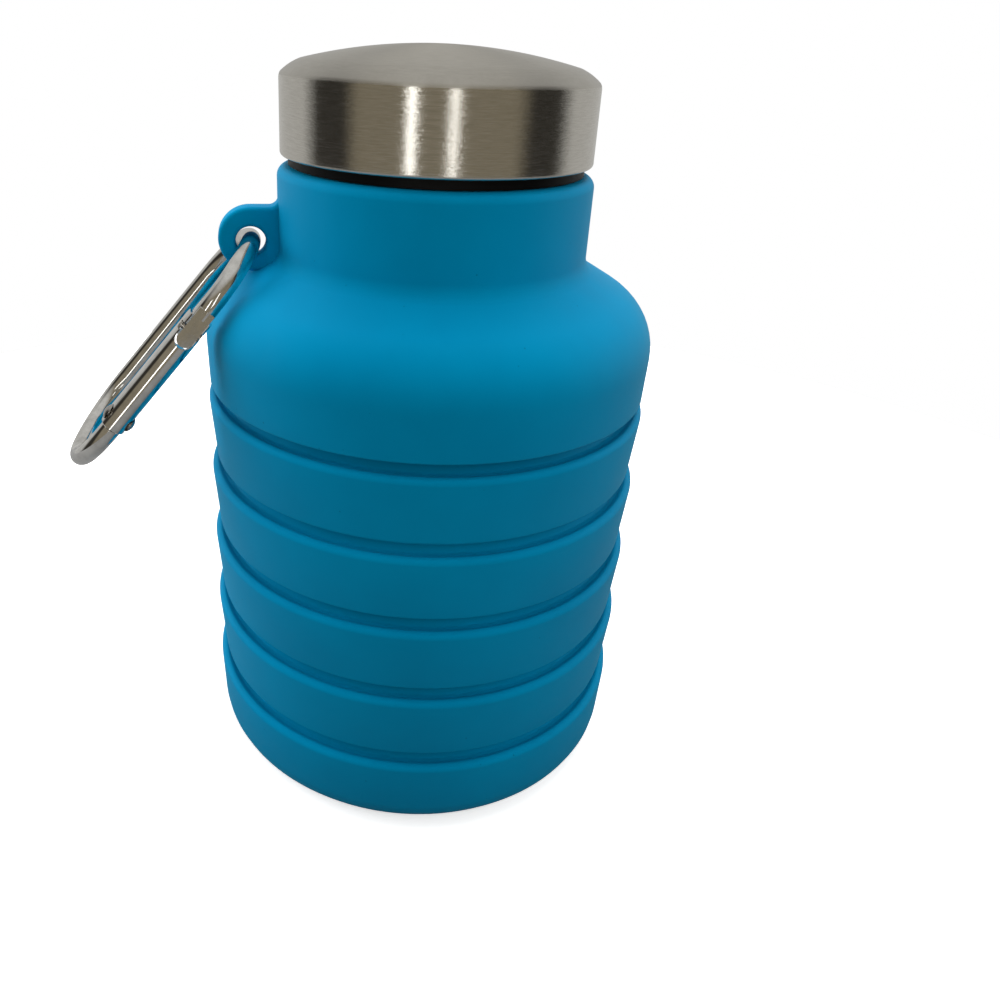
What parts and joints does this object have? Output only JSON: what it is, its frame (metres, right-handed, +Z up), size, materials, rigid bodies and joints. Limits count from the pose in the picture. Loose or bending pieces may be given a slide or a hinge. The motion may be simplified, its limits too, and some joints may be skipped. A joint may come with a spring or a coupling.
{
  "type": "folding water bottle",
  "caption": "Collapsible silicone water bottle with a ringed body that folds, a brushed steel screw lid and a snap-gate carabiner on a moulded ear.",
  "frame": {"origin": "centre of the base on the floor plane, folded and standing", "axes": "+Z up along the bottle's axis; the ear and carabiner point to -X"},
  "size_m": [0.0981, 0.075, 0.121],
  "materials": {
    "silicone": "matte cyan-blue food silicone with a fine dusty sheen",
    "insert": "black moulded polypropylene",
    "liner": "black moulded polypropylene",
    "seal": "translucent white silicone",
    "lid": "stainless steel, brushed round the wall and dome",
    "carabiner": "polished nickel plate",
    "fittings": "plated steel"
  },
  "bodies": {
    "base": {"base_cup": "silicone", "fold_membrane_5": "silicone"},
    "ring_4": {"bellows_ring_4": "silicone", "fold_membrane_4": "silicone"},
    "ring_3": {"bellows_ring_3": "silicone", "fold_membrane_3": "silicone"},
    "ring_2": {"bellows_ring_2": "silicone", "fold_membrane_2": "silicone"},
    "ring_1": {"bellows_ring_1": "silicone", "fold_membrane_1": "silicone"},
    "upper": {"neck_and_shoulder": "silicone", "neck_finish": "insert"},
    "seal": {"lid_seal": "seal"},
    "lid": {"lid_shell": "lid", "lid_liner": "liner"},
    "carabiner": {"carabiner_frame": "carabiner", "gate_pivot_rivet": "fittings", "gate_nose_pin": "fittings"},
    "gate": {"gate": "carabiner", "gate_plunger": "fittings", "gate_spring": "fittings"}
  },
  "joints": [
    {"name": "fold_5", "type": "slide", "parent": "base", "child": "ring_4", "axis": [0, 0, 1], "range_m": [0, 0.0124], "deforming": ["fold_membrane_5"]},
    {"name": "fold_4", "type": "slide", "parent": "ring_4", "child": "ring_3", "axis": [0, 0, 1], "range_m": [0, 0.0124], "deforming": ["fold_membrane_4"]},
    {"name": "fold_3", "type": "slide", "parent": "ring_3", "child": "ring_2", "axis": [0, 0, 1], "range_m": [0, 0.0124], "deforming": ["fold_membrane_3"]},
    {"name": "fold_2", "type": "slide", "parent": "ring_2", "child": "ring_1", "axis": [0, 0, 1], "range_m": [0, 0.0124], "deforming": ["fold_membrane_2"]},
    {"name": "fold_1", "type": "slide", "parent": "ring_1", "child": "upper", "axis": [0, 0, 1], "range_m": [0, 0.0124], "deforming": ["fold_membrane_1"]},
    {"name": "lid_lift", "type": "slide", "parent": "upper", "child": "seal", "axis": [0, 0, 1], "range_m": [0, 0.024]},
    {"name": "lid_turn", "type": "hinge", "parent": "seal", "child": "lid", "pos_m": [0, 0, 0.11302], "axis": [0, 0, 1], "range_deg": [0, 1730]},
    {"name": "carabiner_swing", "type": "hinge", "parent": "upper", "child": "carabiner", "pos_m": [-0.0297, 0, 0.0907], "axis": [0, 1, 0], "range_deg": [0, 130]},
    {"name": "gate_open", "type": "hinge", "parent": "carabiner", "child": "gate", "pos_m": [-0.05074, -0.011, 0.06527], "axis": [-0.7705, 0, 0.6374], "range_deg": [0, 26], "stiffness_Nm_per_rad": 0.02, "springref_deg": -20.05}
  ],
  "couplings": [
    {"joint": "lid_turn", "follows": "lid_lift", "rad_per_m": 1256.6}
  ]
}
